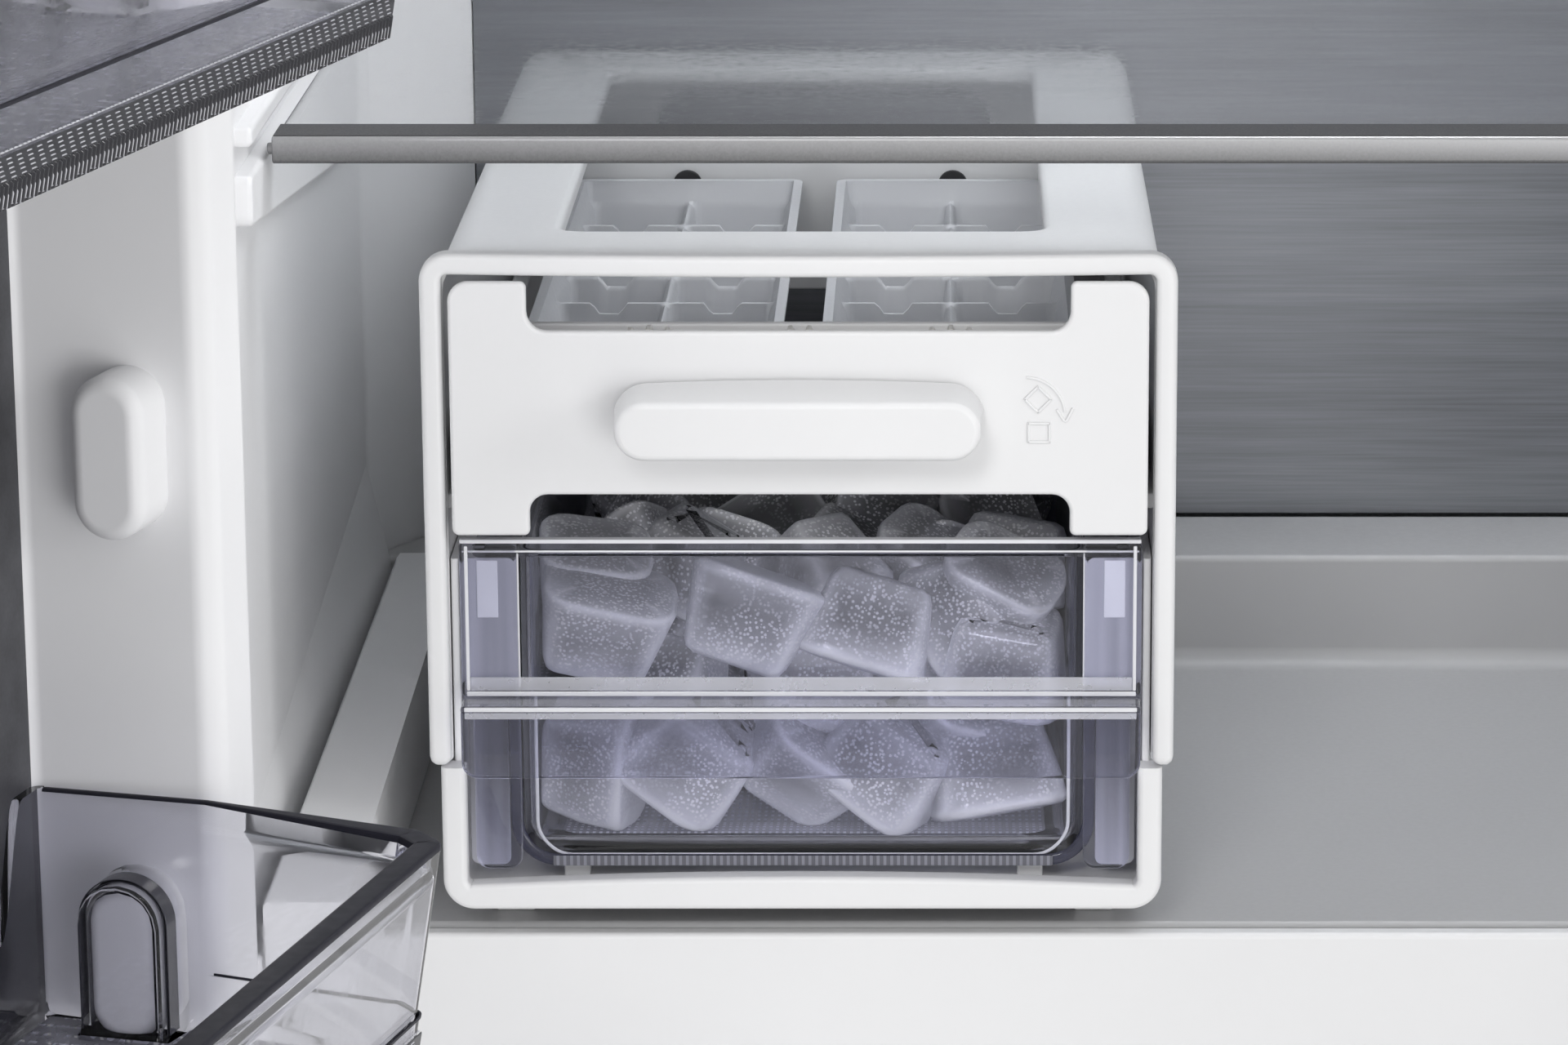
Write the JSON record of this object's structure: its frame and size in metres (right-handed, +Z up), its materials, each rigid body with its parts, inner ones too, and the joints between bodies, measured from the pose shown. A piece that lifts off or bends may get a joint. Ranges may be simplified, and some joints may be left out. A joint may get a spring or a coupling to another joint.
{
  "type": "upright freezer",
  "caption": "Tall white upright freezer with its door open, glass shelves, pull-out drawers, door bins and a twist ice maker with a clear ice bin.",
  "frame": {"origin": "on the floor under the middle of the cabinet's footprint", "axes": "+Z up, -Y towards the open front, +X to the right seen from the front; the door hangs on the left and stands open"},
  "size_m": [0.7966, 1.2241, 1.857],
  "materials": {
    "white_enamel": "semi-gloss white enamel on steel",
    "liner_white": "white vacuum-formed plastic, satin",
    "moulded_white": "white injection-moulded plastic",
    "galvanised": "galvanised steel sheet",
    "brushed": "horizontally brushed stainless steel",
    "trim_metal": "satin anodised aluminium",
    "tube_aluminium": "mill finish aluminium",
    "insulation": "rigid polyurethane foam, cream",
    "grey_board": "grey moulded duct board",
    "black_plastic": "black moulded plastic",
    "compressor_black": "black stoving paint",
    "heater_steel": "stainless tube",
    "glass_clear": "clear tempered glass",
    "bin_clear": "clear tinted plastic, drawn as glass",
    "door_bin_clear": "smoke-tinted clear plastic, drawn as glass",
    "lens_opal": "opal diffuser",
    "gasket_grey": "soft grey magnetic seal",
    "tray_white": "flexible white plastic",
    "gear_white": "white gear plastic",
    "spring_steel": "spring wire"
  },
  "bodies": {
    "cabinet": {"cabinet_shell": "white_enamel", "rear_panel": "galvanised", "cabinet_foam": "insulation", "inner_liner": "liner_white", "deck_shelf": "liner_white", "cooling_plate": "brushed", "duct_board": "grey_board", "evaporator": "tube_aluminium", "defrost_heater": "heater_steel", "fan_housing": "black_plastic", "compressor": "compressor_black", "condenser": "tube_aluminium", "condenser_shroud": "galvanised", "machine_base": "galvanised", "kick_grille": "moulded_white", "mains_inlet": "black_plastic", "control_box": "grey_board", "upper_hinge": "galvanised", "lower_hinge": "galvanised", "light_lens": "lens_opal", "ice_cover": "moulded_white", "ice_cradle": "moulded_white"},
    "evaporator_rotor": {"evaporator_fan": "black_plastic"},
    "condenser_rotor": {"condenser_fan": "black_plastic"},
    "foot_left": {"levelling_foot_left": "black_plastic"},
    "foot_right": {"levelling_foot_right": "black_plastic"},
    "roller_left": {"rear_roller_left": "black_plastic"},
    "roller_right": {"rear_roller_right": "black_plastic"},
    "shelf_lower": {"glass_shelf_lower": "glass_clear", "shelf_trim_lower": "trim_metal"},
    "shelf_upper": {"glass_shelf_upper": "glass_clear", "shelf_trim_upper": "trim_metal"},
    "door": {"door_skin": "white_enamel", "door_cap_bottom": "moulded_white", "door_cap_top": "moulded_white", "door_liner": "liner_white", "door_foam": "insulation", "door_inner_plate": "brushed", "door_gasket": "gasket_grey", "door_handle": "trim_metal"},
    "bin_1": {"door_bin_1": "door_bin_clear"},
    "bin_2": {"door_bin_2": "door_bin_clear"},
    "bin_3": {"door_bin_3": "door_bin_clear"},
    "bin_4": {"door_bin_4": "door_bin_clear"},
    "bin_5": {"door_bin_5": "door_bin_clear"},
    "drawer_1": {"drawer_front_1": "moulded_white", "drawer_tub_1": "bin_clear"},
    "drawer_2": {"drawer_front_2": "moulded_white", "drawer_tub_2": "bin_clear"},
    "drawer_3": {"drawer_front_3": "moulded_white", "drawer_tub_3": "bin_clear"},
    "tray_slider": {"tray_carrier": "moulded_white", "knob_spring": "spring_steel"},
    "knob": {"twist_knob": "moulded_white", "knob_gear": "gear_white"},
    "tray_left": {"ice_tray_left": "tray_white", "tray_gear_left": "gear_white"},
    "tray_right": {"ice_tray_right": "tray_white", "tray_gear_right": "gear_white"},
    "ice_drawer": {"ice_bin": "bin_clear"}
  },
  "joints": [
    {"name": "door_swing", "type": "hinge", "parent": "cabinet", "child": "door", "pos_m": [-0.2846, -0.3457, 0.9], "axis": [0, 0, -1], "range_deg": [-105, 12]},
    {"name": "evaporator_fan_spin", "type": "hinge", "parent": "cabinet", "child": "evaporator_rotor", "pos_m": [0, 0.213, 1.56], "axis": [0, -1, 0], "continuous": true},
    {"name": "condenser_fan_spin", "type": "hinge", "parent": "cabinet", "child": "condenser_rotor", "pos_m": [-0.165, 0.168, 0.124], "axis": [0, 1, 0], "continuous": true},
    {"name": "foot_left_height", "type": "slide", "parent": "cabinet", "child": "foot_left", "axis": [0, 0, -1], "range_m": [0, 0.012]},
    {"name": "foot_right_height", "type": "slide", "parent": "cabinet", "child": "foot_right", "axis": [0, 0, -1], "range_m": [0, 0.012]},
    {"name": "roller_left_spin", "type": "hinge", "parent": "cabinet", "child": "roller_left", "pos_m": [-0.255, 0.262, 0.012], "axis": [1, 0, 0], "continuous": true},
    {"name": "roller_right_spin", "type": "hinge", "parent": "cabinet", "child": "roller_right", "pos_m": [0.255, 0.262, 0.012], "axis": [1, 0, 0], "continuous": true},
    {"name": "shelf_lower_pull", "type": "slide", "parent": "cabinet", "child": "shelf_lower", "axis": [0, -1, 0], "range_m": [0, 0.22]},
    {"name": "shelf_upper_pull", "type": "slide", "parent": "cabinet", "child": "shelf_upper", "axis": [0, -1, 0], "range_m": [0, 0.22]},
    {"name": "bin_1_lift", "type": "slide", "parent": "door", "child": "bin_1", "axis": [0, 0, 1], "range_m": [0, 0.06]},
    {"name": "bin_2_lift", "type": "slide", "parent": "door", "child": "bin_2", "axis": [0, 0, 1], "range_m": [0, 0.06]},
    {"name": "bin_3_lift", "type": "slide", "parent": "door", "child": "bin_3", "axis": [0, 0, 1], "range_m": [0, 0.06]},
    {"name": "bin_4_lift", "type": "slide", "parent": "door", "child": "bin_4", "axis": [0, 0, 1], "range_m": [0, 0.06]},
    {"name": "bin_5_lift", "type": "slide", "parent": "door", "child": "bin_5", "axis": [0, 0, 1], "range_m": [0, 0.06]},
    {"name": "drawer_1_pull", "type": "slide", "parent": "cabinet", "child": "drawer_1", "axis": [0, -1, 0], "range_m": [0, 0.23]},
    {"name": "drawer_2_pull", "type": "slide", "parent": "cabinet", "child": "drawer_2", "axis": [0, -1, 0], "range_m": [0, 0.23]},
    {"name": "drawer_3_pull", "type": "slide", "parent": "cabinet", "child": "drawer_3", "axis": [0, -1, 0], "range_m": [0, 0.23]},
    {"name": "tray_carrier_pull", "type": "slide", "parent": "cabinet", "child": "tray_slider", "axis": [0, -1, 0], "range_m": [0, 0.24]},
    {"name": "knob_twist", "type": "hinge", "parent": "tray_slider", "child": "knob", "pos_m": [-0.0767, -0.18, 1.095], "axis": [0, -1, 0], "range_deg": [0, 125], "stiffness_Nm_per_rad": 0.15},
    {"name": "tray_left_turn", "type": "hinge", "parent": "tray_slider", "child": "tray_left", "pos_m": [-0.1222, -0.02, 1.095], "axis": [0, -1, 0], "range_deg": [-125, 0]},
    {"name": "tray_right_turn", "type": "hinge", "parent": "tray_slider", "child": "tray_right", "pos_m": [-0.0312, -0.02, 1.095], "axis": [0, -1, 0], "range_deg": [-125, 0]},
    {"name": "ice_bin_pull", "type": "slide", "parent": "cabinet", "child": "ice_drawer", "axis": [0, -1, 0], "range_m": [0, 0.24]}
  ],
  "couplings": [
    {"joint": "tray_left_turn", "follows": "knob_twist", "ratio": -1},
    {"joint": "tray_right_turn", "follows": "knob_twist", "ratio": -1}
  ]
}
